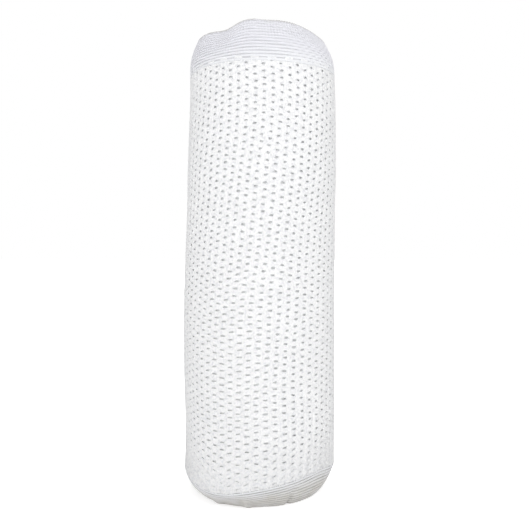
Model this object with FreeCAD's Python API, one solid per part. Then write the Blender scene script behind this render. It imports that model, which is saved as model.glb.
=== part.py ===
import FreeCAD, Part
import math
import os

# Wrap-around tree guard: an upright sleeve of two plies of openwork mesh, drawn in at both ends
# by ribbed bands, and opened at the back by a flap that laps a placket with hook and loop.
# Millimetres. +Z is up, the base stands on z = 0, the tube's axis is the Z axis and the closure
# is at the back, on +Y. Angles are in degrees about +Z from +X, so 90 is the back.

# Overall form
guard_length = 305.0
belly_radius = 51.5
belly_height = 75.0
waist_radius = 49.0
top_rim_radius = 42.5
shoulder_height = 24.0
shoulder_power = 2.2
bottom_rim_radius = 42.0
lip_radius = 39.0

# Cloth
ply_thickness = 1.2
ply_gap = 0.3
sewn_gap = 0.2

# Ribbed bands
top_band_height = 26.0
bottom_band_height = 16.0
toe_roundness = 0.36
rib_pitch = 2.0
rib_depth = 0.4
rim_roll_height = 1.2

# Closure
flap_width = 28.0
tape_thickness = 1.0
tape_width = 16.0
tape_end_margin = 8.0
placket_thickness = 1.2
placket_hem_width = 4.5
binding_thickness = 0.5
binding_width = 6.0
binding_clearance = 0.15

# Clearances between bodies
closure_gap = 0.3
panel_gap = 0.3
flap_edge_gap = 0.5
end_clearance = 1.0

# Where the wings fold from the front wall, behind the tube's middle
fold_angle_behind_middle = 12.0

# Straight runs that stand for each curved stretch of the section
wall_runs = 4
shoulder_runs = 4
toe_runs = 3
roll_runs = 4

BACK = 90.0
ORIGIN = FreeCAD.Vector(0, 0, 0)
UP = FreeCAD.Vector(0, 0, 1)

# Depths below the nominal outer surface, counted inwards
wall_thickness = 2 * ply_thickness + ply_gap
hook_depth = wall_thickness + sewn_gap
loop_depth = hook_depth + tape_thickness + closure_gap
placket_depth = loop_depth + tape_thickness + sewn_gap

# Heights
mesh_bottom = bottom_band_height
mesh_top = guard_length - top_band_height


def turn(width):
    """The angle that a width takes up round the tube, at the waist."""
    return math.degrees(width / waist_radius)


right_fold = fold_angle_behind_middle
left_fold = 180.0 - fold_angle_behind_middle
flap_edge = BACK + turn(flap_width)
wing_edge = flap_edge + turn(flap_edge_gap)
half_panel_gap = turn(panel_gap) / 2
bound_setback = turn(binding_thickness + binding_clearance)


def curved_radius(height):
    """The section's curve: a long belly low down, and a shoulder drawn in to the top rim."""
    shoulder_foot = guard_length - shoulder_height
    from_belly = (min(height, shoulder_foot) - belly_height) / (mesh_top - belly_height)
    radius = belly_radius - (belly_radius - waist_radius) * from_belly ** 2
    rise = max(0, (height - shoulder_foot) / shoulder_height)
    return radius - (radius - top_rim_radius) * rise ** shoulder_power


def steps(low, high, count):
    return [low + (high - low) * i / count for i in range(count + 1)]


stations = steps(mesh_bottom, mesh_top, wall_runs) + steps(mesh_top, guard_length, shoulder_runs)[1:]


def outer_radius(height):
    """The nominal outer radius, on the straight run between the two stations about a height."""
    above = next(i for i in range(1, len(stations)) if height <= stations[i])
    low, high = stations[above - 1], stations[above]
    share = (height - low) / (high - low)
    return curved_radius(low) + share * (curved_radius(high) - curved_radius(low))


def wall_point(height, depth):
    return FreeCAD.Vector(outer_radius(height) - depth, 0, height)


def toe_point(share, depth):
    """A point on the bottom band, at share 0 at the base and at share 1 at the mesh.

    The toe_roundness takes the band from a straight chamfer, at 0, to a quarter-round, at 1.
    """
    angle = share * math.pi / 2
    outwards = share + toe_roundness * (math.sin(angle) - share)
    upwards = share + toe_roundness * (1 - math.cos(angle) - share)
    reach = outer_radius(mesh_bottom) - bottom_rim_radius - depth
    rise = bottom_band_height - depth
    return FreeCAD.Vector(bottom_rim_radius + reach * outwards, 0, depth + rise * upwards)


def line(start, end):
    return Part.LineSegment(start, end).toShape()


def run_through(points):
    return [line(start, end) for start, end in zip(points, points[1:])]


def roll(start, end, bulge):
    """Points round a half-ellipse that turns the cloth back, bulging by a vector at its middle."""
    middle = (start + end) / 2
    half = (start - end) / 2
    angles = steps(0, math.pi, roll_runs)
    return [middle + half * math.cos(angle) + bulge * math.sin(angle) for angle in angles]


def ribs(point_at, low, high, length):
    """Ribs with their crests on the nominal surface, and a groove between one and the next."""
    count = round(length / rib_pitch)
    half_rib = (high - low) / count / 2
    points = [point_at(low, 0)]
    for place in steps(low, high, count)[1:-1]:
        points += [point_at(place - half_rib, 0), point_at(place, rib_depth)]
    points += [point_at(high - half_rib, 0), point_at(high, 0)]
    return run_through(points)


def turned(edges, start_angle, end_angle):
    """Turns a closed section, drawn on the XZ plane, about the tube's axis."""
    section = Part.Face(Part.Wire(edges))
    section.rotate(ORIGIN, UP, start_angle)
    return section.revolve(ORIGIN, UP, end_angle - start_angle)


def shell(depth, thickness, low, high, start_angle, end_angle):
    """A curved layer that follows the wall at a depth below its outer surface."""
    heights = [low] + [z for z in stations if low < z < high] + [high]
    outside = [wall_point(z, depth) for z in heights]
    inside = [wall_point(z, depth + thickness) for z in reversed(heights)]
    return turned(run_through(outside + inside + outside[:1]), start_angle, end_angle).toNurbs()


def top_band(start_angle, end_angle):
    """The ribbed band above the mesh, drawn in to a rolled rim."""
    roll_foot = guard_length - rim_roll_height
    outside = wall_point(roll_foot, 0)
    inside = wall_point(roll_foot, wall_thickness)
    rim = roll(outside, inside, UP * rim_roll_height)
    heights = [z for z in reversed(stations) if mesh_top < z < roll_foot] + [mesh_top]
    lining = [wall_point(z, wall_thickness) for z in heights]
    edges = ribs(wall_point, mesh_top, roll_foot, top_band_height)
    edges += run_through(rim + lining + [wall_point(mesh_top, 0)])
    return turned(edges, start_angle, end_angle)


def bottom_band(start_angle, end_angle):
    """The ribbed band below the mesh, turned in under the wall to the flat land it stands on."""
    toe_length = math.hypot(outer_radius(mesh_bottom) - bottom_rim_radius, bottom_band_height)
    lip_base = FreeCAD.Vector(lip_radius, 0, 0)
    lip_top = FreeCAD.Vector(lip_radius, 0, wall_thickness)
    lip = roll(lip_top, lip_base, FreeCAD.Vector(-wall_thickness / 2, 0, 0))
    lining = [toe_point(share, wall_thickness) for share in steps(1, 0, toe_runs)]
    edges = ribs(toe_point, 0, 1, toe_length)
    edges += run_through([toe_point(1, 0)] + lining + lip + [toe_point(0, 0)])
    return turned(edges, start_angle, end_angle)


def mesh_plies(start_angle, end_angle):
    """The outer and the inner ply of openwork mesh, from band to band."""
    outer = shell(0, ply_thickness, mesh_bottom, mesh_top, start_angle, end_angle)
    inner = shell(ply_thickness + ply_gap, ply_thickness, mesh_bottom, mesh_top, start_angle, end_angle)
    return outer, inner


def edge_binding(edge_angle, inward):
    """A tape folded over the plies and the top band at an edge of the closure.

    inward is -1 where the cloth lies at smaller angles than its edge, and 1 where at larger ones.
    """
    far = edge_angle + inward * turn(binding_width)
    inner_fold = edge_angle + inward * turn(binding_thickness)
    past = far + inward * turn(binding_width)
    clearance_depth = -binding_clearance
    outer_depth = clearance_depth - binding_thickness
    hollow_thickness = wall_thickness + 2 * binding_clearance
    full_thickness = hollow_thickness + 2 * binding_thickness
    tape_top = guard_length - rim_roll_height
    tape = shell(outer_depth, full_thickness, mesh_bottom, tape_top, *sorted((edge_angle, far)))
    hollow = shell(clearance_depth, hollow_thickness, mesh_bottom, tape_top, *sorted((inner_fold, past)))
    return tape.cut(hollow)


def write(name, shape):
    shape.exportStep("parts/" + name + ".step")


os.makedirs("parts", exist_ok=True)

# The panels, each with two plies and two bands. The plies and the top band of a panel take up one
# span of angles, and its bottom band another, because at the closure only the first are bound.
front_span = (left_fold + half_panel_gap, 360.0 + right_fold - half_panel_gap)
right_span = (right_fold + half_panel_gap, BACK - half_panel_gap)
flap_start = BACK + half_panel_gap
left_end = left_fold - half_panel_gap
panels = [
    ("front", front_span, front_span),
    ("right", right_span, right_span),
    ("flap", (flap_start, flap_edge - bound_setback), (flap_start, flap_edge)),
    ("left", (wing_edge + bound_setback, left_end), (wing_edge, left_end)),
]
for panel, span, bottom_span in panels:
    outer_ply, inner_ply = mesh_plies(*span)
    write(panel + "_outer_mesh", outer_ply)
    write(panel + "_inner_mesh", inner_ply)
    write(panel + "_top_band", top_band(*span))
    write(panel + "_bottom_band", bottom_band(*bottom_span))

# The closure: bound edges, hook tape on the flap, loop tape on the placket
write("flap_edge_binding", edge_binding(flap_edge, -1))
write("left_edge_binding", edge_binding(wing_edge, 1))

tape_end = flap_edge - turn(binding_width + end_clearance)
tape_start = tape_end - turn(tape_width)
tape_bottom = mesh_bottom + tape_end_margin
tape_top = mesh_top - tape_end_margin
write("hook_tape", shell(hook_depth, tape_thickness, tape_bottom, tape_top, tape_start, tape_end))
write("loop_tape", shell(loop_depth, tape_thickness, tape_bottom, tape_top, tape_start, tape_end))

placket_bottom = mesh_bottom + end_clearance
placket_top = mesh_top - end_clearance
hem_start = wing_edge + turn(binding_width + end_clearance)
hem_end = hem_start + turn(placket_hem_width)
hem_depth = wall_thickness + sewn_gap
hem_thickness = placket_depth + placket_thickness - hem_depth
placket_sheet = shell(placket_depth, placket_thickness, placket_bottom, placket_top, flap_start, hem_end)
placket_hem = shell(hem_depth, hem_thickness, placket_bottom, placket_top, hem_start, hem_end)
write("placket", placket_sheet.fuse(placket_hem).removeSplitter())
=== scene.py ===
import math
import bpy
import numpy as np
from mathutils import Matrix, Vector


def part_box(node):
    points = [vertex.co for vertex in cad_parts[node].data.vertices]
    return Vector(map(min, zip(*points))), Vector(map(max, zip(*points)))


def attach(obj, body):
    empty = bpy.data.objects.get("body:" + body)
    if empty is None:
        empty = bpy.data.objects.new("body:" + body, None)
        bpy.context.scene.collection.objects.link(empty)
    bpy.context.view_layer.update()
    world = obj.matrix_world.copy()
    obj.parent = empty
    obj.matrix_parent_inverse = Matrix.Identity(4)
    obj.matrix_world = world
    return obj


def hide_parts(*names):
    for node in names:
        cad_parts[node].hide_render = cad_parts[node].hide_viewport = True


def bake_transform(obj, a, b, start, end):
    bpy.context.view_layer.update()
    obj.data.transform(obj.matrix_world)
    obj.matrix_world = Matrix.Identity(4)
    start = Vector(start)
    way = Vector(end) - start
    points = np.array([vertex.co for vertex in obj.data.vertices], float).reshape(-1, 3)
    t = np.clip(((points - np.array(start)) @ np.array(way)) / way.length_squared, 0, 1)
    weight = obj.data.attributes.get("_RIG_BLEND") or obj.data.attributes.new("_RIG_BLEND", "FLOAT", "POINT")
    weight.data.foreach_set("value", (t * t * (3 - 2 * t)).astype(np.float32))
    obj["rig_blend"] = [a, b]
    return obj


bl_info = {
    "name": "Mesh tree guard",
    "version": (1, 0, 0),
    "blender": (4, 5, 0),
    "location": "View3D > Sidebar > Tree guard",
    "description": "Builds the look of a wrap-around tree guard of knitted openwork mesh",
    "category": "Object",
}

import bmesh
import bpy
import numpy as np
from bpy.props import FloatProperty, FloatVectorProperty, IntProperty, PointerProperty
from mathutils import Matrix, Vector

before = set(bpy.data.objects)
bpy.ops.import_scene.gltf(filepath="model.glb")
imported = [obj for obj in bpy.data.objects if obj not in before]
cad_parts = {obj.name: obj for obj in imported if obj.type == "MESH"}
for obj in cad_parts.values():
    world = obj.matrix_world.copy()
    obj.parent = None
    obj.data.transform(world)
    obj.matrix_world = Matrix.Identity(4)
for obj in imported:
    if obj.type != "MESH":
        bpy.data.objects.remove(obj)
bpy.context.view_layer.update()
MM = 0.001

# The CAD section that the cloth follows, in metres
MESH_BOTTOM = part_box("front_outer_mesh")[0][2]
MESH_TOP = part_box("front_outer_mesh")[1][2]
GUARD_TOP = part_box("front_top_band")[1][2]
BELLY_RADIUS = 51.5 * MM
BELLY_HEIGHT = 75 * MM
WAIST_RADIUS = 49 * MM
TOP_RIM_RADIUS = 42.5 * MM
SHOULDER_HEIGHT = 24 * MM
SHOULDER_POWER = 2.2
BOTTOM_RIM_RADIUS = 42 * MM
LIP_RADIUS = 39 * MM
TOE_ROUNDNESS = 0.36
WALL_THICKNESS = 2.7 * MM
INNER_PLY_DEPTH = 1 * MM
FOLD_BEHIND_MIDDLE = math.radians(12)

# The closure, as angles about +Z from +X, and depths below the nominal outer surface
BACK = math.radians(90)
FRONT = math.radians(270)
FLAP_EDGE = BACK + 28 * MM / WAIST_RADIUS
WING_EDGE = FLAP_EDGE + 0.5 * MM / WAIST_RADIUS
BINDING_SETBACK = 0.65 * MM / WAIST_RADIUS
BINDING_WIDTH = 6 * MM
BINDING_THICKNESS = 0.5 * MM
BINDING_CLEARANCE = 0.15 * MM
TAPE_WIDTH = 16 * MM
TAPE_MARGIN = 8 * MM
TAPE_THICKNESS = 1 * MM
END_CLEARANCE = 1 * MM
HOOK_DEPTH = 2.9 * MM
LOOP_DEPTH = 4.2 * MM
PLACKET_DEPTH = 5.4 * MM
PLACKET_THICKNESS = 1.2 * MM
PLACKET_HEM_WIDTH = 4.5 * MM
RIM_ROLL_HEIGHT = 1.2 * MM

SHEET_START = WING_EDGE + BINDING_SETBACK
SHEET_END = math.tau + FLAP_EDGE - BINDING_SETBACK

RIGHT_FOLD = Vector((math.cos(FOLD_BEHIND_MIDDLE), math.sin(FOLD_BEHIND_MIDDLE), 0)) * BELLY_RADIUS
LEFT_FOLD = Vector((-RIGHT_FOLD.x, RIGHT_FOLD.y, 0))
FLAP_FOLD = Vector((0, BELLY_RADIUS, 0))


def linear(hex_colour):
    """An sRGB hex colour as the linear colour that a shader takes."""
    shares = [int(hex_colour[i : i + 2], 16) / 255 for i in (1, 3, 5)]
    return tuple(c / 12.92 if c <= 0.04045 else ((c + 0.055) / 1.055) ** 2.4 for c in shares)


def length(name, description, value):
    return FloatProperty(name=name, description=description, default=value, unit="LENGTH")


class GuardSizes(bpy.types.PropertyGroup):
    columns: IntProperty(name="Columns", description="Columns of holes", default=58, min=8)
    rows: IntProperty(name="Rows", description="Holes up a column", default=60, min=8)
    hole_width: length("Hole width", "Width of a hole in the mesh", 2.2 * MM)
    hole_height: length("Hole height", "Height of a hole in the mesh", 0.95 * MM)
    yarn_relief: length("Yarn relief", "How far the yarn stands up round a hole", 0.5 * MM)
    ply_thickness: length("Ply thickness", "Thickness of the knitted cloth itself", 0.35 * MM)
    rib_pitch: length("Rib pitch", "Distance from one rib of a band to the next", 2 * MM)
    rib_depth: length("Rib depth", "Depth of the groove between two ribs", 0.75 * MM)
    stitch_length: length("Stitch length", "Length of one stitch of the thread", 2.4 * MM)


def colour(name, description, value):
    kind = {"subtype": "COLOR", "size": 3, "min": 0, "max": 1}
    return FloatVectorProperty(name=name, description=description, default=linear(value), **kind)


class GuardColours(bpy.types.PropertyGroup):
    mesh: colour("Mesh", "White polyester yarn of the mesh", "#FAFAFA")
    mesh_shade: colour("Mesh shade", "Where the yarn of the mesh lies in its own shade", "#E4E5E8")
    # Painted shade: the yarn darkens to this colour at the lips of the holes and in the low grooves, where
    # shade falls.
    hollow_shade: colour("Hollow", "Yarn at the lip of a hole", "#E5E7EA")
    rib: colour("Rib knit", "Yarn of the ribbed bands", "#DEDEE4")
    # Painted shade: the groove colours darken the yarn between the ribs, and the much darker one of the
    # bottom band also stands for the shade on its underside.
    groove: colour("Groove", "Yarn between two ribs", "#C2C2C6")
    low_groove_shade: colour("Low groove", "Yarn between two ribs of the bottom band", "#7F7D79")
    # Painted shade: this colour darkens the top band along the fold of its rim.
    rim: colour("Rim", "Beige-grey raw edge of the rim", "#A9A7A0")
    # Painted shade: this colour darkens the bottom band on its underside, where it turns down to the ground.
    hem_shade: colour("Soil", "Grey-brown of the hem where it meets the ground", "#CCC9C3")
    tape: colour("Tape", "Woven binding tape", "#EDEDF0")
    hook: colour("Hook", "Nylon hook tape", "#EFEFEF")
    loop: colour("Loop", "Brushed loop tape", "#F2F2F3")
    placket: colour("Placket", "Plain woven cloth of the placket", "#EBEBEE")
    thread: colour("Thread", "Sewing thread", "#F7F7F7")
    floor: colour("Floor", "Pale floor under the guard", "#EEEEEE")


def sizes():
    return bpy.context.scene.guard_sizes


def colours():
    return bpy.context.scene.guard_colours


# The form of the soft wall


def smooth_step(value, low, high):
    share = np.clip((value - low) / (high - low), 0, 1)
    return share * share * (3 - 2 * share)


def wall_radius(height):
    """The nominal outer radius: a long belly low down, and a shoulder drawn in to the top rim."""
    shoulder_foot = GUARD_TOP - SHOULDER_HEIGHT
    from_belly = (np.minimum(height, shoulder_foot) - BELLY_HEIGHT) / (MESH_TOP - BELLY_HEIGHT)
    radius = BELLY_RADIUS - (BELLY_RADIUS - WAIST_RADIUS) * from_belly**2
    rise = np.clip((height - shoulder_foot) / SHOULDER_HEIGHT, 0, 1)
    return radius - (radius - TOP_RIM_RADIUS) * rise**SHOULDER_POWER


def toe_point(share, depth):
    """Radius and height of the bottom band's section, at share 0 at its base and 1 at the mesh."""
    angle = share * math.pi / 2
    outwards = share + TOE_ROUNDNESS * (math.sin(angle) - share)
    upwards = share + TOE_ROUNDNESS * (1 - math.cos(angle) - share)
    reach = wall_radius(MESH_BOTTOM) - BOTTOM_RIM_RADIUS - depth
    return BOTTOM_RIM_RADIUS + reach * outwards, depth + (MESH_BOTTOM - depth) * upwards


# How the knit has been pulled askew: heights, the sideways drift of the columns there as seen
# from the front, and the slope of the rows there
DRIFT_HEIGHTS = np.array([0, 14, 60, 107, 150, 200, 237, 262, 305]) * MM
COLUMN_DRIFT = np.array([-12, -12, -11.6, -9.9, -6.9, -3.1, -0.5, 0, 0]) * MM
SLOPE_HEIGHTS = np.array([0, 14, 47, 85, 128, 172, 216, 262, 279, 305]) * MM
ROW_SLOPE = np.array([0, 0.10, 0.12, 0.08, 0.01, -0.042, -0.073, -0.05, -0.03, 0])

# How the guard leans to one side, by height
LEAN_HEIGHTS = np.array([0, 14, 47, 80, 130, 190, 235, 265, 285, 305]) * MM
LEAN = np.array([-1.2, -0.9, 0.1, -0.8, -0.9, 1.4, 3, 4, 3.2, 1.8]) * MM

# How far it swells or draws in, by height
SWELL_HEIGHTS = np.array([0, 30, 60, 85, 113, 145, 176, 194, 212, 235, 262, 305]) * MM
SWELL = np.array([1.1, 0.3, 0.6, 0.9, 0.8, 0.2, -0.5, -0.5, 0.4, 0.3, 0, 0]) * MM

# How far the rim and the hem's upper edge stand above or below their rings, by the angle from
# the middle of the front
EDGE_ANGLES = np.radians(
    [-180, -110, -80, -65, -50, -38, -28, -19, -9, 0, 18, 30, 40, 50, 60, 72, 85, 120, 180]
)
RIM_RISE = MM * np.array(
    [0, 0, -1.8, -2.3, -2.2, -3.0, -2.4, 0, 1.2, 0.2, 0.2, -0.7, -1.9, -3.2, -4, -4, -3, 0, 0]
)
HEM_RISE = MM * np.array(
    [0, 0, -1, -2, -3.5, -5, -5.4, -4.9, -4, -3, -1, 0.6, 2.2, 3.2, 2.6, 1, 0, 0, 0]
)
RIM_REACH = 26 * MM
HEM_REACH = 48 * MM

# The dent of the rim, and the small tucks and bumps of the hem, which fade out at the foot's
# height: angle from the front in degrees, width in degrees, depth
RIM_DENT = (-38, 14, 3 * MM)
HEM_TUCKS = ((26, 1.6, 2 * MM), (-8, 3, -1.8 * MM), (-35, 5, -2 * MM), (6, 6, 0.4 * MM))
FOOT_HEIGHT = 16 * MM

# The cloth's broad and small waves
BROAD_WAVE = 0.35 * MM
SMALL_WAVE = 0.25 * MM


def bell(value, width):
    return np.exp(-((value / width) ** 2))


def from_front(angle):
    """The angle from the middle of the front, from -pi to pi, positive to the right."""
    return (angle - FRONT + math.pi) % math.tau - math.pi


def eased(value, places, amounts):
    """Amounts given at some places, joined by a smooth line."""
    spread = (places[-1] - places[0]) / 160
    return sum(np.interp(value + k * spread, places, amounts) for k in (-2, -1, 0, 1, 2)) / 5


def soft_place(angle, radius, height):
    """Where a point of the plain tube goes once the cloth has twisted, leaned and dented."""
    aside = from_front(angle)
    facing = np.clip((1 + np.cos(aside)) / 2 - 0.1, 0, 1) / 0.9
    drift = eased(height, DRIFT_HEIGHTS, COLUMN_DRIFT) / WAIST_RADIUS * facing
    slope = eased(height, SLOPE_HEIGHTS, ROW_SLOPE)
    swing = WAIST_RADIUS * np.sin(aside) * np.cos(aside) * facing
    angle = angle + drift
    aside = aside + drift

    near_rim = smooth_step(height, GUARD_TOP - RIM_REACH, GUARD_TOP)
    near_hem = smooth_step(height, 0, MESH_BOTTOM)
    near_hem = near_hem * (1 - smooth_step(height, MESH_BOTTOM, HEM_REACH))
    rise = eased(aside, EDGE_ANGLES, RIM_RISE) * near_rim
    rise = rise + eased(aside, EDGE_ANGLES, HEM_RISE) * near_hem
    place, width, depth = RIM_DENT
    dent = depth * bell(aside - math.radians(place), math.radians(width)) * near_rim**1.5

    wave = BROAD_WAVE * np.sin(2 * aside + 0.7 + height * 19)
    wave = wave + SMALL_WAVE * np.sin(5 * aside - height * 31)
    wave *= smooth_step(height, 0, 30 * MM) * (1 - near_rim) * facing
    foot = 1 - smooth_step(height, 0, FOOT_HEIGHT)
    for place, width, depth in HEM_TUCKS:
        wave -= depth * bell(aside - math.radians(place), math.radians(width)) * foot

    swell = eased(height, SWELL_HEIGHTS, SWELL) * facing
    radius = radius - dent + wave + swell
    lean = eased(height, LEAN_HEIGHTS, LEAN) * facing
    return radius * np.cos(angle) + lean, radius * np.sin(angle), height + slope * swing + rise


# Making pieces


def link(name, mesh):
    piece = bpy.data.objects.new(name, mesh)
    bpy.context.scene.collection.objects.link(piece)
    return piece


def finished(name, bm, material, hollow_shade=None):
    """Turns a bmesh into a smooth-shaded piece with its material.

    The last argument says for each vertex how deep it lies between the yarns, for the material to darken
    there as painted shade.
    """
    mesh = bpy.data.meshes.new(name)
    bm.to_mesh(mesh)
    bm.free()
    mesh.shade_smooth()
    mesh.materials.append(material)
    if hollow_shade is not None:
        attribute = mesh.attributes.new("hollow_shade", "FLOAT", "POINT")
        attribute.data.foreach_set("value", hollow_shade.astype(np.float32))
    return link(name, mesh)


def coordinates(bm):
    return np.array([v.co for v in bm.verts]).reshape(-1, 3)


def move_to(bm, x, y, z):
    for vert, place in zip(bm.verts, np.stack([x, y, z], axis=1)):
        vert.co = place


# Each panel's cloth turns from one body to the next over a short reach across its fold
FOLDS = {
    "right": ("front_wall", "right_wing", RIGHT_FOLD, Vector((0, 9 * MM, 0))),
    "left": ("front_wall", "left_wing", LEFT_FOLD, Vector((0, 9 * MM, 0))),
    "flap": ("right_wing", "flap", FLAP_FOLD, Vector((-4.8 * MM, 0, 0))),
}


def carry(piece, part):
    """Makes a piece follow its body, or bend across the fold that it spans."""
    if part == "front":
        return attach(piece, "front_wall")
    first, second, fold, reach = FOLDS[part]
    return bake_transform(piece, first, second, start=fold - reach, end=fold + reach)


# The sheet runs from the left edge of the closure round the front to the flap's edge. These are
# the columns at which it is divided into pieces, so that each piece bends across one fold.
PARTS = {"left": (0, 13), "front": (13, 35), "right": (35, 48), "flap": (48, 58)}


def column_angle(column):
    return SHEET_START + (SHEET_END - SHEET_START) * column / sizes().columns


def part_angles(part, bound=True):
    """The first and last angle of a part, which at the closure depend on whether it is bound."""
    first, last = PARTS[part]
    start, end = column_angle(first), column_angle(last)
    if not bound and part == "left":
        start = WING_EDGE
    if not bound and part == "flap":
        end = math.tau + FLAP_EDGE
    return start, end


# The openwork mesh


def grown(bm, edges, shift):
    """Extrudes edges by a shift, and gives the new edges."""
    geom = bmesh.ops.extrude_edge_only(bm, edges=edges)["geom"]
    verts = {g for g in geom if isinstance(g, bmesh.types.BMVert)}
    bmesh.ops.translate(bm, verts=list(verts), vec=shift)
    return [g for g in geom if isinstance(g, bmesh.types.BMEdge) and set(g.verts) <= verts]


def mesh_cell(sides, rings, width, height):
    """One brick of the openwork, a ring of yarn with a hole through it.

    rings holds, from the brick's edge on the upper side over the lip of the hole to the brick's
    edge on the under side, how far each ring of vertices lies towards the brick's edge and how
    high it stands. The share of that way is kept on the vertices.
    """
    s = sizes()
    stops = sides // 6  # vertices from the middle of the brick's upper edge to its corner
    bm = bmesh.new()
    bmesh.ops.create_circle(bm, cap_ends=False, radius=1, segments=sides)
    edges = bm.edges[:]
    for _ in rings[1:]:
        edges = grown(bm, edges, (0, 0, 1))
    layer = bm.loops.layers.uv.new("UVMap")
    for face in bm.faces:
        middle = face.calc_center_median()
        facing = math.atan2(middle.y, middle.x)
        for loop in face.loops:
            turn = math.atan2(loop.vert.co.y, loop.vert.co.x)
            turn = facing + (turn - facing + math.pi) % math.tau - math.pi
            loop[layer].uv = (turn / math.tau, rings[round(loop.vert.co.z)][0])
    bmesh.ops.recalc_face_normals(bm, faces=bm.faces[:])
    shares = bm.verts.layers.float.new("share")
    for vert in bm.verts:
        across, up, ring = vert.co.x, vert.co.y, round(vert.co.z)
        share, stand = rings[ring]
        edge_across = round(across * stops) / stops
        edge_up = 0 if abs(up) < 0.1 else math.copysign(1, up)
        vert.co.x = (1 - share) * across * s.hole_width / 2 + share * edge_across * width / 2
        vert.co.y = (1 - share) * up * s.hole_height / 2 + share * edge_up * height / 2
        vert.co.z = stand
        vert[shares] = share
    upper = max(bm.faces, key=lambda face: face.calc_center_median().z)
    bm.normal_update()
    if upper.normal.z < 0:
        bmesh.ops.reverse_faces(bm, faces=bm.faces[:])
    return bm


def repeated(bm, places):
    """Copies all that is in bm to each further place."""
    source = bm.verts[:] + bm.edges[:] + bm.faces[:]
    for place in places:
        copy = bmesh.ops.duplicate(bm, geom=source)["geom"]
        verts = [g for g in copy if isinstance(g, bmesh.types.BMVert)]
        bmesh.ops.translate(bm, verts=verts, vec=place)


def chance(column, row, salt):
    """A fixed number from -1 to 1 for each hole, as if by chance."""
    wide = np.abs(np.sin(column * 12.9898 + row * 78.233 + salt) * 43758.5453)
    return np.modf(wide)[0] * 2 - 1


# The band in which the rows of the two plies lie in line: its middle is at the middle of the
# front at the first height, and at the angle to the right a fall further down
LINE_TOP = 262 * MM
LINE_FALL = 187 * MM
LINE_ANGLE = math.radians(38)
LINE_WIDTH = math.radians(26)


def line_middle(up):
    return LINE_ANGLE * (LINE_TOP - up) / LINE_FALL


def in_line(angle, up):
    """How nearly the rows of the two plies lie in line, from 0 to 1.

    They do along a band that falls from the upper middle of the front to its lower right, where
    part of each hole is clear. Elsewhere each ply closes the other's holes, and these lie flat.
    """
    return bell(from_front(angle) - line_middle(up), LINE_WIDTH)


# How much the holes differ from one another in size, tilt and place, and how far the rows and
# columns wander
SIZE_SPREAD = 0.14
TILT_SPREAD = 0.1
UP_SPREAD = 0.16 * MM
ACROSS_SPREAD = 0.2 * MM
WANDER = 0.35 * MM

# How far the mesh may reach past its own ends, and how far it puffs out over the bottom band
TUCKED = 3 * MM
PUFF = 0.35 * MM

# The heights between which the holes close up, the mesh puckers and the other ply closes it, and
# the angles from the front between which the holes narrow and the puckers end
LOW_HEIGHTS = (16 * MM, 46 * MM)
PUCKER_HEIGHTS = (16 * MM, 50 * MM)
CLOSED_HEIGHTS = (110 * MM, 190 * MM)
BESIDE_ANGLES = (0.5, 1.2)
PUCKER_ANGLES = (1.0, 1.6)


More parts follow.
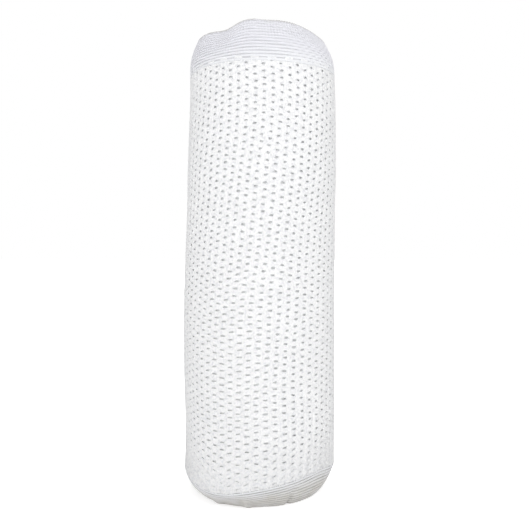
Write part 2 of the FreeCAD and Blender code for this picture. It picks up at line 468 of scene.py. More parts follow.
def openwork(part, depth, sides, rings, slips, salt):
    """A piece of one ply, laid out flat as staggered bricks and then wrapped round the tube.

    Gives its bmesh, its flat size, and for each vertex how deep it lies between the yarns, which the
    material darkens as painted shade.
    """
    s = sizes()
    first, last = PARTS[part]
    width = WAIST_RADIUS * (SHEET_END - SHEET_START) / s.columns
    height = (MESH_TOP - MESH_BOTTOM) / s.rows
    stagger = height / 2
    bm = mesh_cell(sides, rings, width, height)
    repeated(bm, [(0, row * height, 0) for row in range(1, s.rows + 1)])
    bmesh.ops.translate(bm, verts=bm.verts[:], vec=(0, -stagger * (first % 2), 0))
    further = range(first + 1, last)
    repeated(bm, [(width * (k - first), stagger * (first % 2 - k % 2), 0) for k in further])
    bmesh.ops.remove_doubles(bm, verts=bm.verts[:], dist=0.02 * MM)
    border = [edge for edge in bm.edges if edge.is_boundary]
    bmesh.ops.bridge_loops(bm, edges=border)
    for edge in border:
        edge.smooth = False

    flat = coordinates(bm)
    layer = bm.verts.layers.float["share"]
    loose = 1 - np.array([vert[layer] for vert in bm.verts])
    column = first + np.rint(flat[:, 0] / width)
    shift = stagger * (column % 2)
    row = np.rint((flat[:, 1] + shift) / height)
    across = offset = flat[:, 0] - (column - first) * width
    along = flat[:, 1] + shift - row * height

    # low down the holes close up and lean, as the cloth turns under
    level = MESH_BOTTOM + row * height - shift
    spin = column_angle(0.5) + column * (column_angle(1) - column_angle(0))
    low = 1 - smooth_step(level, *LOW_HEIGHTS)
    swell = 1 + SIZE_SPREAD * chance(column, row, salt)
    closed = (1 - in_line(spin, level)) * (1 - smooth_step(level, *CLOSED_HEIGHTS))
    beside = smooth_step(np.abs(from_front(spin)), *BESIDE_ANGLES)
    squeeze = swell * (1 - 0.7 * low) * (0.95 - 0.35 * closed) * (1 - 0.2 * beside) - 1
    narrow = swell * (1 - 0.3 * low) * (0.75 + 0.35 * closed) * (1 - 0.15 * beside) - 1
    tilt = 0.6 * low * np.sin(from_front(spin))
    tilt = tilt + (TILT_SPREAD + 0.25 * low) * chance(column, row, salt + 1)
    moved = squeeze * along + tilt * across + UP_SPREAD * chance(column, row, salt + 2)
    along = along + loose * moved
    across = across + loose * (narrow * across + ACROSS_SPREAD * chance(column, row, salt + 3))

    angle = spin + across / WAIST_RADIUS
    up = level + along
    bow = np.sin((angle - SHEET_START) / (SHEET_END - SHEET_START) * math.pi)
    sway = np.sin(up / (13 * MM) + 3 * np.sin(2 * angle) + salt)
    angle = angle + WANDER / WAIST_RADIUS * sway * bow
    up = up + WANDER * np.sin(angle * 9 + 2 * np.sin(up / (17 * MM)) + salt)
    slid, lifted = ply_slip(angle, up, width, height) if slips else (0, 0)
    up = np.clip(up + lifted, MESH_BOTTOM - TUCKED, MESH_TOP + TUCKED)
    side = (1 - loose) * np.abs(2 * offset / width) ** 3
    front = 1 - smooth_step(np.abs(from_front(angle)), *PUCKER_ANGLES)
    pucker = front * (1 - smooth_step(up, *PUCKER_HEIGHTS))
    stand = (flat[:, 2] - depth) * (1 + 1.3 * pucker) + 0.5 * s.yarn_relief * side * pucker
    tuck = np.clip(MESH_BOTTOM - up, 0, None)
    puffed = PUFF * front * (1 - smooth_step(up, MESH_BOTTOM, MESH_BOTTOM + 8 * MM))
    radius = wall_radius(np.clip(up, MESH_BOTTOM, MESH_TOP)) + stand + puffed - tuck
    move_to(bm, *soft_place(angle + slid / WAIST_RADIUS, radius, up))
    # Painted shade: the lips of the holes darken, less where the holes are closed or seen aside, and low
    # down so do the grooves between the puckered bricks.
    lip = loose**2 * (1 - 0.45 * closed) * (1 - 0.4 * beside)
    hollow_shade = np.maximum(lip, 0.9 * low * (1 - loose) ** 8 * (1 - side))
    return bm, (width * (last - first), MESH_TOP - MESH_BOTTOM), hollow_shade


def ply_slip(angle, up, width, height):
    """How far the inner ply has slipped round and up against the outer one."""
    lifted = height / 2 * (1 - in_line(angle, up))
    aside = from_front(angle)
    past_line = smooth_step(aside - line_middle(up), math.radians(-14), math.radians(22))
    slid = width * (0.36 + 0.14 * past_line)
    return slid * (1 - smooth_step(np.abs(aside), 1.4, 2.2)), lifted


# The section of each ply's ring of yarn, from the brick's edge to the lip of the hole: the share
# of the way to the brick's edge, and how far below the crest it lies as a share of the relief
OUTER_RING = ((1, -0.8), (0.66, 0), (0.4, -0.6), (0.14, -0.05), (0, -0.8))
INNER_RING = ((1, -0.5), (0.4, 0), (0, -0.6))


def lay_ply(ply, depth, sides, section, slips, salt):
    """Makes the pieces of one ply. The salt keeps its chance numbers apart from the other's."""
    relief = sizes().yarn_relief
    rings = [(share, stand * relief) for share, stand in section]
    rings.append((1, rings[0][1] - sizes().ply_thickness))
    material = mesh_material(f"knitted polyester mesh, {ply} ply")
    for part in PARTS:
        bm, flat, hollow_shade = openwork(part, depth, sides, rings, slips, salt)
        piece = finished(f"{ply}_ply_{part}", bm, material, hollow_shade)
        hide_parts(f"{part}_{ply}_mesh")
        carry(piece, part)


class GUARD_OT_outer_ply(bpy.types.Operator):
    """Knits the outer ply of the openwork mesh"""

    bl_idname = "guard.outer_ply"
    bl_label = "Outer ply"

    def execute(self, context):
        lay_ply("outer", 0.05 * MM, 12, OUTER_RING, False, 1.3)
        return {"FINISHED"}


class GUARD_OT_inner_ply(bpy.types.Operator):
    """Knits the inner ply of the openwork mesh, slipped a little against the outer one"""

    bl_idname = "guard.inner_ply"
    bl_label = "Inner ply"

    def execute(self, context):
        lay_ply("inner", INNER_PLY_DEPTH, 8, INNER_RING, True, 7.7)
        return {"FINISHED"}


# The ribbed bands

RIB_STEPS = 8
PLAIN_STEP = 1.2 * MM
COLUMN_STEP = 0.5 * MM
RIB_FADE = 0.5 * MM
DASH_LENGTH = 5.4 * MM


def rib_relief(along):
    """Rounded ribs with narrow grooves, at a distance along the band's section."""
    return np.abs(np.sin(math.pi * along / sizes().rib_pitch)) ** 0.55 - 1


def resampled(points, step):
    """Points a step apart along a section, their distances along it, and its outward normals."""
    points = np.array(points)
    runs = np.hypot(*np.diff(points, axis=0).T)
    along = np.concatenate([[0], np.cumsum(runs)])
    count = round(along[-1] / step)
    at = np.linspace(0, along[-1], count + 1)
    places = np.stack([np.interp(at, along, points[:, k]) for k in (0, 1)], axis=1)
    ways = np.gradient(places, axis=0)
    ways /= np.hypot(*ways.T)[:, None]
    return places, at, np.stack([ways[:, 1], -ways[:, 0]], axis=1)


def grid_of(across, along):
    """A grid with a column of vertices at each number of across and a row at each of along.

    Gives the bmesh, whose UVs are those numbers, and the column and row of each vertex.
    """
    bm = bmesh.new()
    layer = bm.loops.layers.uv.new("UVMap")
    bmesh.ops.create_grid(bm, x_segments=len(across) - 1, y_segments=len(along) - 1, size=0.5)
    grid = coordinates(bm) + [0.5, 0.5, 0]
    column = np.rint(grid[:, 0] * (len(across) - 1)).astype(int)
    row = np.rint(grid[:, 1] * (len(along) - 1)).astype(int)
    for vert, x, y in zip(bm.verts, column, row):
        for loop in vert.link_loops:
            loop[layer].uv = (across[x], along[y])
    return bm, column, row


def closed_ends(bm):
    """Joins a swept section into a tube and closes its two ends with sharp-edged faces."""
    bmesh.ops.remove_doubles(bm, verts=bm.verts[:], dist=0.01 * MM)
    caps = bmesh.ops.holes_fill(bm, edges=[e for e in bm.edges if e.is_boundary], sides=0)["faces"]
    for cap in caps:
        for edge in cap.edges:
            edge.smooth = False
    bmesh.ops.recalc_face_normals(bm, faces=bm.faces[:])


def band(part, bound, outside, inside, dashes):
    """A piece of a ribbed band: a closed section, ribbed on its outside, swept round the tube.

    dashes says how far the ribs break up into staggered dashes towards the right.
    """
    s = sizes()
    ribbed, at, normals = resampled(outside, s.rib_pitch / RIB_STEPS)
    plain, plain_at, _ = resampled(inside, PLAIN_STEP)
    section = np.concatenate([ribbed, plain[1:]])
    lengths = np.concatenate([at, at[-1] + plain_at[1:]])
    ribs = rib_relief(at) * np.clip(np.minimum(at, at[-1] - at) / RIB_FADE, 0, 1)
    groove = np.concatenate([ribs, np.zeros(len(plain) - 1)])
    out = np.concatenate([normals, np.zeros((len(plain) - 1, 2))])
    start, end = part_angles(part, bound)
    columns = np.linspace(start, end, round((end - start) * WAIST_RADIUS / COLUMN_STEP) + 1)
    bm, column, row = grid_of(columns * WAIST_RADIUS, lengths)

    angle = columns[column]
    aside = from_front(angle)
    broken = dashes * smooth_step(aside, 0.1, 0.7) * (1 - smooth_step(aside, 1.7, 2.4))
    rib = np.floor(lengths[row] / s.rib_pitch + 0.5)
    wave = 0.5 + 0.5 * np.cos(math.tau * (angle * WAIST_RADIUS / DASH_LENGTH + rib / 2))
    lift = groove[row] * (1 - broken * wave) * (1 + 0.15 * np.sin(angle * 11 + rib * 2.1))
    knit = dashes * smooth_step(aside, -0.15, 0.1) * (1 - smooth_step(aside, 0.9, 1.3))
    knit = knit * smooth_step(section[row, 1], GUARD_TOP - 15 * MM, GUARD_TOP - 8 * MM)
    knit = knit * (row < len(ribbed))
    purl = 1 + np.cos(math.tau * angle * WAIST_RADIUS / s.rib_pitch)
    lift = lift * (1 - 0.35 * knit) - 0.2 * knit * purl
    # Painted shade: each vertex keeps how deep it lies in a groove, for the material to darken there.
    hollow_shade = bm.verts.layers.float.new("hollow_shade")
    for vert, depth in zip(bm.verts, -lift):
        vert[hollow_shade] = depth
    radius = section[row, 0] + out[row, 0] * lift * s.rib_depth
    height = section[row, 1] + out[row, 1] * lift * s.rib_depth
    move_to(bm, *soft_place(angle, radius, height))
    closed_ends(bm)
    return bm, ((end - start) * WAIST_RADIUS, at[-1])


def ellipse_arc(centre, reach, rise, start, end, count):
    angles = np.radians(np.linspace(start, end, count))
    return [(centre[0] + reach * math.cos(a), centre[1] + rise * math.sin(a)) for a in angles]


def lay_band(end, bound, outside, inside, dashes, material):
    """Makes the pieces of the band at one end of the guard."""
    for part in PARTS:
        bm, flat = band(part, bound, outside, inside, dashes)
        piece = finished(f"{end}_band_{part}", bm, material)
        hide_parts(f"{part}_{end}_band")
        carry(piece, part)


class GUARD_OT_top_band(bpy.types.Operator):
    """Knits the ribbed top band, up the outside, over the rim and down the inside"""

    bl_idname = "guard.top_band"
    bl_label = "Top band"

    def execute(self, context):
        roll_foot = GUARD_TOP - RIM_ROLL_HEIGHT
        heights = np.linspace(MESH_TOP - 0.6 * MM, roll_foot, 24)
        outside = [(wall_radius(z), z) for z in heights]
        rim = WALL_THICKNESS / 2
        roll = (wall_radius(roll_foot) - rim, roll_foot)
        outside += ellipse_arc(roll, rim, RIM_ROLL_HEIGHT, 10, 170, 9)
        inside = [outside[-1]] + [(wall_radius(z) - WALL_THICKNESS, z) for z in heights[::-1]]
        inside.append(outside[0])
        c = colours()
        # The top band gets painted shade in its grooves and along the fold of its rim.
        name = "rib-knit polyester band, painted rim shade"
        material = rib_material(name, c.groove, c.rim, 28.6 * MM, 2.6 * MM, 0.9)
        lay_band("top", True, outside, inside, 0.8, material)
        return {"FINISHED"}


class GUARD_OT_bottom_band(bpy.types.Operator):
    """Knits the ribbed bottom band, turned in under the wall to the ring it stands on"""

    bl_idname = "guard.bottom_band"
    bl_label = "Bottom band"

    def execute(self, context):
        lip = (LIP_RADIUS, WALL_THICKNESS / 2)
        outside = ellipse_arc(lip, WALL_THICKNESS / 2, WALL_THICKNESS / 2, 180, 270, 6)
        outside += [toe_point(share, 0) for share in np.linspace(0, 1, 24)]
        outside.append((wall_radius(MESH_BOTTOM), MESH_BOTTOM + 0.6 * MM))
        inside = [outside[-1]]
        inside += [toe_point(share, WALL_THICKNESS) for share in np.linspace(1, 0, 12)]
        inside += ellipse_arc(lip, WALL_THICKNESS / 2, WALL_THICKNESS / 2, 90, 180, 6)
        c = colours()
        # The bottom band gets painted shade in its grooves and on its underside, where it turns down to the
        # ground.
        name = "rib-knit polyester band, painted hem shade"
        material = rib_material(name, c.low_groove_shade, c.hem_shade, 2 * MM, 22 * MM, 0.8)
        lay_band("bottom", False, outside, inside, 0, material)
        return {"FINISHED"}


# The closure. Its pieces are made flat, in arc length, depth and height, and then wrapped round.


def wrapped(bm, angle):
    """Wraps flat work round the back of the tube, from an angle onwards."""
    flat = coordinates(bm)
    spin = angle + flat[:, 0] / WAIST_RADIUS
    radius = wall_radius(flat[:, 2]) - flat[:, 1]
    move_to(bm, radius * np.cos(spin), radius * np.sin(spin), flat[:, 2])
    return bm


def run_of(section, heights):
    """A flat strip or bar: a section of arc lengths and depths, run up through the heights."""
    section = np.array(section)
    steps = np.hypot(*np.diff(section, axis=0).T)
    bm, column, row = grid_of(np.concatenate([[0], np.cumsum(steps)]), heights)
    move_to(bm, section[column, 0], section[column, 1], heights[row])
    return bm


def heights_between(low, high, step):
    return np.linspace(low, high, round((high - low) / step) + 1)


def corner(centre, radius, start, end):
    return ellipse_arc(centre, radius, radius, start, end, 5)


def stitches(rows, low, high):
    """Rows of stitches that stand on the cloth: each row is an arc length and a depth."""
    s = sizes()
    bm = bmesh.new()
    step = s.stitch_length * 1.25
    size = Matrix.Diagonal((0.22 * MM, 0.16 * MM, s.stitch_length / 2, 1))
    for x, y in rows:
        place = Matrix.Translation((x, y, low + step / 2))
        bmesh.ops.create_uvsphere(bm, u_segments=6, v_segments=4, radius=1, matrix=place @ size)
    repeated(bm, [(0, 0, k * step) for k in range(1, int((high - low) / step))])
    return bm


class GUARD_OT_bindings(bpy.types.Operator):
    """Folds a tape over each edge of the closure and sews it down"""

    bl_idname = "guard.bindings"
    bl_label = "Edge bindings"

    def execute(self, context):
        tape = woven_material("twill-woven polyester binding tape", colours().tape, 0.5 * MM, 0.25)
        thread = thread_material("spun polyester sewing thread")
        low, high = MESH_BOTTOM, GUARD_TOP - RIM_ROLL_HEIGHT
        heights = heights_between(low, high, 1.5 * MM)
        outer = -BINDING_CLEARANCE - BINDING_THICKNESS / 2
        inner = WALL_THICKNESS - outer
        fold, bend = BINDING_THICKNESS / 2, 1.1 * MM
        section = [(BINDING_WIDTH * k / 6, outer) for k in (6, 5, 4, 3, 2)]
        section += corner((fold + bend, outer + bend), bend, 270, 180)
        section += corner((fold + bend, inner - bend), bend, 180, 90)
        section += [(BINDING_WIDTH * k / 6, inner) for k in (2, 3, 4, 5, 6)]
        edges = (("left", WING_EDGE, 1, "left_wing"), ("flap", FLAP_EDGE, -1, "flap"))
        for part, edge, way, body in edges:
            bm = run_of([(way * x, y) for x, y in section], heights)
            bmesh.ops.recalc_face_normals(bm, faces=bm.faces[:])
            if min(bm.faces, key=lambda f: f.calc_center_median().y).normal.y > 0:
                bmesh.ops.reverse_faces(bm, faces=bm.faces[:])
            piece = finished(f"{part}_binding", wrapped(bm, edge), tape)
            solidify = piece.modifiers.new("Thickness", "SOLIDIFY")
            solidify.thickness = BINDING_THICKNESS
            solidify.offset = 0
            faces = (outer - fold, inner + fold)
            rows = [(way * BINDING_WIDTH * k, y) for k in (0.3, 0.8) for y in faces]
            sewing = wrapped(stitches(rows, low + 2 * MM, high - 2 * MM), edge)
            stitching = finished(f"{part}_binding_stitches", sewing, thread)
            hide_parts(f"{part}_edge_binding")
            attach(piece, body)
            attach(stitching, body)
        return {"FINISHED"}


TAPE_END = FLAP_EDGE - (BINDING_WIDTH + END_CLEARANCE) / WAIST_RADIUS
TAPE_START = TAPE_END - TAPE_WIDTH / WAIST_RADIUS
TAPE_LOW = MESH_BOTTOM + TAPE_MARGIN
TAPE_HIGH = MESH_TOP - TAPE_MARGIN
TAPE_SIZE = (TAPE_WIDTH, TAPE_HIGH - TAPE_LOW)

# A hook: its radius, and the steps in mm, across and out, by which it rises and turns over
HOOK_RADIUS = 0.16 * MM
HOOK_STEPS = ((0, 0.32), (0.12, 0.16), (0.24, 0.04), (0.16, -0.12))

# A loop of the pile: the radius of its arch and of its yarn
LOOP_RADIUS = 0.34 * MM
LOOP_YARN = 0.09 * MM


def tape_backing(name, depth, thickness, material):
    """The woven strip of a hook or loop tape, a closed bar with softened edges."""
    bend = thickness / 2
    near, far = depth, depth + thickness
    section = [(TAPE_WIDTH * k / 12, near) for k in range(1, 12)]
    section += corner((TAPE_WIDTH - bend, near + bend), bend, 270, 450)
    section += [(TAPE_WIDTH * k / 12, far) for k in range(11, 0, -1)]
    section += corner((bend, near + bend), bend, 90, 270)
    bm = run_of(section + section[:1], heights_between(TAPE_LOW, TAPE_HIGH, 1.5 * MM))
    closed_ends(bm)
    return finished(name, wrapped(bm, TAPE_START), material)


def scattered(bm, pitch_across, pitch_up, salt):
    """Copies what is in bm over a tape, row by row, a little out of line."""
    count = len(bm.verts)
    margin = 1.5 * MM
    across = int((TAPE_WIDTH - 2 * margin) / pitch_across)
    up = int((TAPE_SIZE[1] - 2 * margin) / pitch_up)
    repeated(bm, [(k * pitch_across, 0, 0) for k in range(1, across)])
    repeated(bm, [(0, 0, k * pitch_up) for k in range(1, up)])
    flat = coordinates(bm)
    row, column = np.divmod(np.arange(len(flat)) // count, across)
    aside = 0.25 + 0.5 * (row % 2) + 0.15 * chance(column, row, salt)
    flat[:, 0] += margin + aside * pitch_across
    flat[:, 2] += TAPE_LOW + margin + (0.5 + 0.2 * chance(column, row, salt + 1)) * pitch_up
    move_to(bm, *flat.T)
    return bm


class GUARD_OT_hook_tape(bpy.types.Operator):
    """Makes the hook tape under the flap, with its rows of moulded hooks"""

    bl_idname = "guard.hook_tape"
    bl_label = "Hook tape"

    def execute(self, context):
        backing_thickness = 0.4 * MM
        name = "woven nylon backing of the hook tape"
        woven = woven_material(name, colours().hook, 0.7 * MM, 0.1)
        tape = tape_backing("hook_backing", HOOK_DEPTH, backing_thickness, woven)
        bm = bmesh.new()
        upright = Matrix.Rotation(math.radians(90), 4, "X")
        bmesh.ops.create_circle(bm, segments=5, radius=HOOK_RADIUS, matrix=upright)
        edges = bm.edges[:]
        for across, out in HOOK_STEPS:
            edges = grown(bm, edges, (across * MM, out * MM, 0))
        bmesh.ops.holes_fill(bm, edges=edges, sides=0)
        foot = HOOK_DEPTH + backing_thickness - 0.05 * MM
        bmesh.ops.translate(bm, verts=bm.verts[:], vec=(0, foot, 0))
        bmesh.ops.recalc_face_normals(bm, faces=bm.faces[:])
        scattered(bm, 1.3 * MM, 1.6 * MM, 5)
        nylon = nylon_material("moulded nylon hooks")
        hooks = finished("hook_field", wrapped(bm, TAPE_START), nylon)
        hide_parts("hook_tape")
        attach(tape, "flap")
        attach(hooks, "flap")
        return {"FINISHED"}


class GUARD_OT_loop_tape(bpy.types.Operator):
    """Makes the loop tape on the placket, with its brushed pile"""

    bl_idname = "guard.loop_tape"
    bl_label = "Loop tape"

    def execute(self, context):
        pile = 0.5 * MM
        name = "woven nylon backing of the loop tape"
        woven = woven_material(name, colours().loop, 0.7 * MM, 0.3)
        base = LOOP_DEPTH + pile
        tape = tape_backing("loop_backing", base, TAPE_THICKNESS - pile, woven)
        bm = bmesh.new()
        foot = Matrix.Translation((LOOP_RADIUS, 0, 0)) @ Matrix.Rotation(math.pi / 2, 4, "X")
        bmesh.ops.create_circle(bm, segments=4, radius=LOOP_YARN, matrix=foot)
        ring = bm.verts[:] + bm.edges[:]
        turn = {"cent": (0, 0, 0), "axis": (0, 0, 1), "angle": -math.pi}
        bmesh.ops.spin(bm, geom=ring, steps=5, use_merge=True, **turn)
        bmesh.ops.rotate(bm, verts=bm.verts[:], cent=(0, 0, 0), matrix=Matrix.Rotation(0.5, 3, "Y"))
        bmesh.ops.scale(bm, verts=bm.verts[:], vec=(1, 1.25, 1))
        bmesh.ops.translate(bm, verts=bm.verts[:], vec=(0, base + 0.03 * MM, 0))
        bmesh.ops.recalc_face_normals(bm, faces=bm.faces[:])
        scattered(bm, 0.95 * MM, 1.2 * MM, 11)
        nylon = nylon_material("brushed nylon loops")
        loops = finished("loop_pile", wrapped(bm, TAPE_START), nylon)
        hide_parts("loop_tape")
        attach(tape, "left_wing")
        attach(loops, "left_wing")
        return {"FINISHED"}


class GUARD_OT_placket(bpy.types.Operator):
    """Makes the placket behind the closure, with the hem by which it is sewn to the left wing"""

    bl_idname = "guard.placket"
    bl_label = "Placket"

    def execute(self, context):
        low, high = MESH_BOTTOM + END_CLEARANCE, MESH_TOP - END_CLEARANCE
        start = BACK + 0.15 * MM / WAIST_RADIUS
        hem_start = (WING_EDGE - start) * WAIST_RADIUS + BINDING_WIDTH + END_CLEARANCE
        hem_end = hem_start + PLACKET_HEM_WIDTH
        near, far = PLACKET_DEPTH, PLACKET_DEPTH + PLACKET_THICKNESS
        bend = PLACKET_THICKNESS / 2
        count = 16
        section = [(bend + (hem_start - 2 * bend) * k / count, near) for k in range(count + 1)]
        section += corner((hem_start - bend, near - bend), bend, 90, 0)[1:]
        section += corner((hem_start + bend, HOOK_DEPTH + bend), bend, 180, 270)
        section += corner((hem_end - bend, HOOK_DEPTH + bend), bend, 270, 360)
        section += corner((hem_end - bend, far - bend), bend, 0, 90)
        section += [(bend + (hem_end - 2 * bend) * k / count, far) for k in range(count - 1, 0, -1)]
        section += corner((bend, near + bend), bend, 90, 270)[:-1]
        bm = run_of(section + section[:1], heights_between(low, high, 2 * MM))
        closed_ends(bm)
        name = "plain-woven polyester placket"
        woven = woven_material(name, colours().placket, 0.6 * MM, 0.2)
        thread = thread_material("spun polyester sewing thread, placket")
        piece = finished("placket_cloth", wrapped(bm, start), woven)
        across = (hem_start + 1.2 * MM, hem_end - 1.2 * MM, 2 * MM, 4 * MM)
        rows = [(x, far) for x in across]
        sewing = wrapped(stitches(rows, low + 2 * MM, high - 2 * MM), start)
        stitching = finished("placket_stitches", sewing, thread)
        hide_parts("placket")
        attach(piece, "left_wing")
        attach(stitching, "left_wing")
        return {"FINISHED"}


# Materials


def put(tree, socket, value):
    """Sets an input to a value, or links it to the output of another node."""
    if isinstance(value, bpy.types.NodeSocket):
        tree.links.new(value, socket)
    else:
        socket.default_value = value


def add(tree, kind, inputs=(), output=0, **settings):
    """Adds a shader node, its inputs set to values or linked to sockets, and gives one output."""
    node = tree.nodes.new("ShaderNode" + kind)
    for name, value in settings.items():
        setattr(node, name, value)
    for name, value in dict(inputs).items():
        put(tree, node.inputs[name], value)
    return node.outputs[output]


# Where a mix of colours has its factor and its two colours, and how it is set up
FACTOR, FIRST, SECOND = 0, 6, 7
COLOURS = {"output": 2, "data_type": "RGBA"}

# The scale at which a wave texture repeats once in each unit
WAVE = 0.3183


def opaque(value):
    return (*value, 1)


def cloth(name, roughness, sheen, translucence):
    """A material for white cloth: a matt shader, with some light let through from behind."""
    material = bpy.data.materials.new(name)
    material.use_nodes = True
    tree = material.node_tree
    shader = tree.nodes["Principled BSDF"]
    shader.inputs["Roughness"].default_value = roughness
    shader.inputs["Sheen Weight"].default_value = sheen
    shader.inputs["Sheen Roughness"].default_value = 0.5
    shader.inputs["IOR"].default_value = 1.5
    shader.inputs["Specular IOR Level"].default_value = 0.3
    through = add(tree, "BsdfTranslucent")
    both = add(tree, "MixShader", {0: translucence, 1: shader.outputs[0], 2: through})
    tree.links.new(both, tree.nodes["Material Output"].inputs["Surface"])
    return material, tree, add(tree, "TexCoord", output="Object")


def dye(tree, tint):
    """Gives the shader, and the light that comes through the cloth, one colour."""
    put(tree, tree.nodes["Principled BSDF"].inputs["Base Color"], tint)
    put(tree, tree.nodes["Translucent BSDF"].inputs["Color"], tint)


def emboss(tree, height, strength, depth):
    """Gives the shader a relief."""
    bump = add(tree, "Bump", {"Height": height, "Strength": strength, "Distance": depth})
    tree.links.new(bump, tree.nodes["Principled BSDF"].inputs["Normal"])


def fuzzy(tree, place, pattern, fibre):
    """A pattern with loose fibres of a size over it."""
    fuzz = add(tree, "TexNoise", {"Vector": place, "Scale": 1 / fibre, "Detail": 2})
    return add(tree, "Math", {0: pattern, 1: fuzz}, operation="ADD")


def mesh_material(name):
    """Polyester yarn, knitted: the eye sees soft matt yarn running round each hole.

    The small patches of painted shade between the stitches are drawn at 1.4 mm, coarser than the real ones,
    so that they show; the lips of the holes get painted shade too.
    """
    material, tree, place = cloth(name, 0.85, 0.2, 0.25)
    c = colours()
    uneven = add(tree, "TexNoise", {"Vector": place, "Scale": 1 / (1.4 * MM), "Detail": 3})
    shade = add(tree, "MapRange", {"Value": uneven, "From Min": 0.45, "From Max": 0.7})
    mix = {FACTOR: shade, FIRST: opaque(c.mesh), SECOND: opaque(c.mesh_shade)}
    yarn = add(tree, "Mix", mix, **COLOURS)
    # Painted shade: the yarn darkens to the hollow colour where it lies deep between the yarns.
    hollow_shade = add(tree, "Attribute", output="Fac", attribute_name="hollow_shade")
    shade_weight = add(tree, "MapRange", {"Value": hollow_shade, "From Min": 0.3, "To Max": 0.8})
    dye(tree, add(tree, "Mix", {FACTOR: shade_weight, FIRST: yarn, SECOND: opaque(c.hollow_shade)}, **COLOURS))

    turns = add(tree, "UVMap", uv_map="UVMap")
    stretch = {"Vector": turns, "Scale": (14, 2.2, 1), "Rotation": (0, 0, 0.35)}
    wave = {"Vector": add(tree, "Mapping", stretch), "Scale": 1.0, "Distortion": 0.4}
    twist = add(tree, "TexWave", wave, "Fac")
    emboss(tree, fuzzy(tree, place, twist, 0.35 * MM), 0.35, 0.12 * MM)
    return material


def rib_material(name, groove, painted_shade, shade_at, shade_reach, most):
    """Rib-knit polyester: a dense, slightly grey knit, with a row of small stitches to each rib.

    The painted shade lies about a distance along the band's section, to at most a share; the grooves get
    painted shade too.
    """
    material, tree, place = cloth(name, 0.85, 0.25, 0.15)
    c = colours()
    along = add(tree, "UVMap", uv_map="UVMap")
    # Painted shade, patchy, about a distance along the section: the rim's fold on the top band, the hem's
    # underside on the bottom band.
    up = add(tree, "SeparateXYZ", {"Vector": along}, "Y")
    off = add(tree, "Math", {0: up, 1: shade_at}, operation="SUBTRACT")
    away = add(tree, "Math", {0: off}, operation="ABSOLUTE")
    ends = {"From Min": shade_reach / 2, "From Max": shade_reach, "To Min": 1, "To Max": 0}
    near = add(tree, "MapRange", {"Value": away, **ends})
    patchy = add(tree, "TexNoise", {"Vector": place, "Scale": 1 / (9 * MM), "Detail": 4})
    shade_mask = add(tree, "Math", {0: near, 1: patchy}, operation="MULTIPLY")
    ends = {"From Min": 0.05, "From Max": 0.5, "To Max": most}
    shade_mask = add(tree, "MapRange", {"Value": shade_mask, **ends})

    level = add(tree, "SeparateXYZ", {"Vector": place}, "Z")
    ends = {"From Min": MESH_TOP, "From Max": MESH_TOP + 11 * MM}
    high = add(tree, "MapRange", {"Value": level, **ends})
    mix = {FACTOR: high, FIRST: opaque(c.mesh_shade), SECOND: opaque(c.rib)}
    yarn = add(tree, "Mix", mix, **COLOURS)
    yarn = add(tree, "Mix", {FACTOR: shade_mask, FIRST: yarn, SECOND: opaque(painted_shade)}, **COLOURS)
    # Painted shade: the yarn darkens to the groove colour in the grooves between the ribs.
    hollow_shade = add(tree, "Attribute", output="Fac", attribute_name="hollow_shade")
    shade_weight = add(tree, "MapRange", {"Value": hollow_shade, "From Min": 0.1, "From Max": 0.9})
    dye(tree, add(tree, "Mix", {FACTOR: shade_weight, FIRST: yarn, SECOND: opaque(groove)}, **COLOURS))

    stitch = add(tree, "Mapping", {"Vector": along, "Scale": (1 / (2 * MM), 1 / (8 * MM), 1)})
    rows = add(tree, "TexWave", {"Vector": stitch, "Scale": WAVE, "Distortion": 0.6}, "Fac")
    emboss(tree, fuzzy(tree, place, rows, 0.35 * MM), 0.4, 0.12 * MM)
    return material


def woven_material(name, shade, pitch, sheen):
    """Woven tape or cloth: fine yarns over and under each other, which the eye sees as a grain."""
    material, tree, place = cloth(name, 0.8, sheen, 0.1)
    uneven = add(tree, "TexNoise", {"Vector": place, "Scale": 1 / (8 * MM), "Detail": 3})
    patch = add(tree, "MapRange", {"Value": uneven, "From Min": 0.35, "From Max": 0.75})
    mix = {FACTOR: patch, FIRST: opaque(shade), SECOND: opaque(0.86 * c for c in shade)}
    dye(tree, add(tree, "Mix", mix, **COLOURS))

    along = add(tree, "UVMap", uv_map="UVMap")
    yarns = add(tree, "Mapping", {"Vector": along, "Scale": (1 / pitch, 1 / pitch, 1)})
    weave = add(tree, "TexChecker", {"Vector": yarns, "Scale": 1.0}, "Fac")
    emboss(tree, fuzzy(tree, place, weave, 0.3 * MM), 0.45, 0.1 * MM)
    return material


def thread_material(name):
    """Sewing thread: two plies twisted together, a little brighter than the cloth it lies on."""
    material, tree, place = cloth(name, 0.6, 0.3, 0.05)
    dye(tree, opaque(colours().thread))
    turn = add(tree, "Mapping", {"Vector": place, "Rotation": (0.6, 0.6, 0)})
    wave = {"Vector": turn, "Scale": WAVE / (0.35 * MM)}
    emboss(tree, add(tree, "TexWave", wave, "Fac", bands_direction="Z"), 0.5, 0.08 * MM)
    return material


def nylon_material(name):
    """Nylon filament: smoother and glossier than the polyester yarn, with small bright glints."""
    material, tree, place = cloth(name, 0.4, 0, 0.2)
    tree.nodes["Principled BSDF"].inputs["IOR"].default_value = 1.53
    uneven = add(tree, "TexNoise", {"Vector": place, "Scale": 1 / (3 * MM), "Detail": 2})
    c = colours()
    mix = {FACTOR: uneven, FIRST: opaque(c.loop), SECOND: opaque(c.hook)}
    dye(tree, add(tree, "Mix", mix, **COLOURS))
    return material


# The stage

# The camera's place and its sensor's width in millimetres
EYE = (3.1 * MM, -448.5 * MM, 167 * MM)
SENSOR = 36.0

# The width of the frame, the focal length, and how far the horizon lies above the middle of the
# frame, all three in one unit
FRAME_WIDTH = 529
FOCAL_LENGTH = 650
HORIZON = 21.5

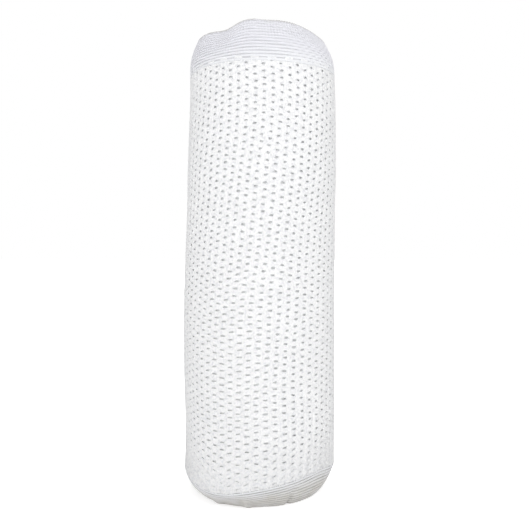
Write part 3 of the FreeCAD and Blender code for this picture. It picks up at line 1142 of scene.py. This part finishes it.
# The lamps: place and size in metres, and power in watts
LAMPS = (
    ("key", (-0.2, -1.4, 0.38), 1.2, 12),
    ("right", (1.1, -0.5, 0.8), 0.8, 6.6),
    ("left", (-1.2, -0.6, 0.6), 0.8, 4.1),
    ("back", (0.2, 1.5, 1.3), 1.4, 12),
)
AIM = Vector((0, 0, 0.15))
WORLD_LIGHT = 0.54
FLOOR_REACH = 6
FLOOR_GLOW = 0.45


class GUARD_OT_stage(bpy.types.Operator):
    """Sets the floor, the lights and the camera"""

    bl_idname = "guard.stage"
    bl_label = "Stage"

    def execute(self, context):
        scene = context.scene
        bm = bmesh.new()
        bmesh.ops.create_grid(bm, x_segments=1, y_segments=1, size=FLOOR_REACH)
        mesh = bpy.data.meshes.new("floor")
        bm.to_mesh(mesh)
        bm.free()
        mesh.materials.append(floor_material())
        link("floor", mesh)

        for lamp in LAMPS:
            self.lamp(*lamp)
        world = scene.world or bpy.data.worlds.new("world")
        scene.world = world
        world.use_nodes = True
        tree = world.node_tree
        rays = [add(tree, "LightPath", output=f"Is {kind} Ray") for kind in ("Camera", "Glossy")]
        seen = add(tree, "Math", {0: rays[0], 1: rays[1]}, operation="MAXIMUM")
        strength = add(tree, "MapRange", {"Value": seen, "To Min": WORLD_LIGHT})
        backdrop = tree.nodes["Background"]
        backdrop.inputs["Color"].default_value = (1, 1, 1, 1)
        tree.links.new(strength, backdrop.inputs["Strength"])

        camera = bpy.data.cameras.new("camera")
        camera.sensor_width = SENSOR
        camera.lens = FOCAL_LENGTH / FRAME_WIDTH * SENSOR
        camera.clip_start = 0.01
        eye = bpy.data.objects.new("camera", camera)
        scene.collection.objects.link(eye)
        eye.location = EYE
        eye.rotation_euler = (math.radians(90) - math.atan2(HORIZON, FOCAL_LENGTH), 0, 0)
        scene.camera = eye
        scene.view_settings.view_transform = "Standard"
        return {"FINISHED"}

    def lamp(self, name, place, size, power):
        light = bpy.data.lights.new(name, "AREA")
        light.shape = "DISK"
        light.size = size
        light.energy = power
        lamp = bpy.data.objects.new(name, light)
        bpy.context.scene.collection.objects.link(lamp)
        lamp.location = place
        aim = AIM - Vector(place)
        lamp.rotation_euler = aim.to_track_quat("-Z", "Y").to_euler()


def floor_material():
    """A pale matt floor that reads as white to the eye and still keeps a soft shadow."""
    material = bpy.data.materials.new("pale studio floor")
    material.use_nodes = True
    tree = material.node_tree
    shader = tree.nodes["Principled BSDF"]
    shader.inputs["Base Color"].default_value = opaque(colours().floor)
    shader.inputs["Roughness"].default_value = 1
    shader.inputs["Specular IOR Level"].default_value = 0
    place = add(tree, "TexCoord", output="Object")
    away = add(tree, "VectorMath", {0: place}, "Value", operation="LENGTH")
    glow = add(tree, "MapRange", {"Value": away, "From Min": 0.15, "To Min": FLOOR_GLOW})
    seen = add(tree, "LightPath", output="Is Camera Ray")
    glow = add(tree, "Math", {0: seen, 1: glow}, operation="MULTIPLY")
    shader.inputs["Emission Color"].default_value = (1, 1, 1, 1)
    tree.links.new(glow, shader.inputs["Emission Strength"])
    return material


class GUARD_PT_panel(bpy.types.Panel):
    """Lists the steps that build the guard"""

    bl_label = "Tree guard"
    bl_idname = "GUARD_PT_panel"
    bl_space_type = "VIEW_3D"
    bl_region_type = "UI"
    bl_category = "Tree guard"

    def draw(self, context):
        for step in STEPS:
            self.layout.operator(step.bl_idname)
        for group in (context.scene.guard_sizes, context.scene.guard_colours):
            for name in group.__annotations__:
                self.layout.prop(group, name)


STEPS = (
    GUARD_OT_stage,
    GUARD_OT_outer_ply,
    GUARD_OT_inner_ply,
    GUARD_OT_top_band,
    GUARD_OT_bottom_band,
    GUARD_OT_bindings,
    GUARD_OT_hook_tape,
    GUARD_OT_loop_tape,
    GUARD_OT_placket,
)
CLASSES = (GuardSizes, GuardColours, *STEPS, GUARD_PT_panel)


def register():
    for cls in CLASSES:
        bpy.utils.register_class(cls)
    bpy.types.Scene.guard_sizes = PointerProperty(type=GuardSizes)
    bpy.types.Scene.guard_colours = PointerProperty(type=GuardColours)


def unregister():
    del bpy.types.Scene.guard_colours
    del bpy.types.Scene.guard_sizes
    for cls in reversed(CLASSES):
        bpy.utils.unregister_class(cls)


def main():
    register()
    for step in STEPS:
        group, name = step.bl_idname.split(".")
        getattr(getattr(bpy.ops, group), name)()


if __name__ == "__main__":
    main()
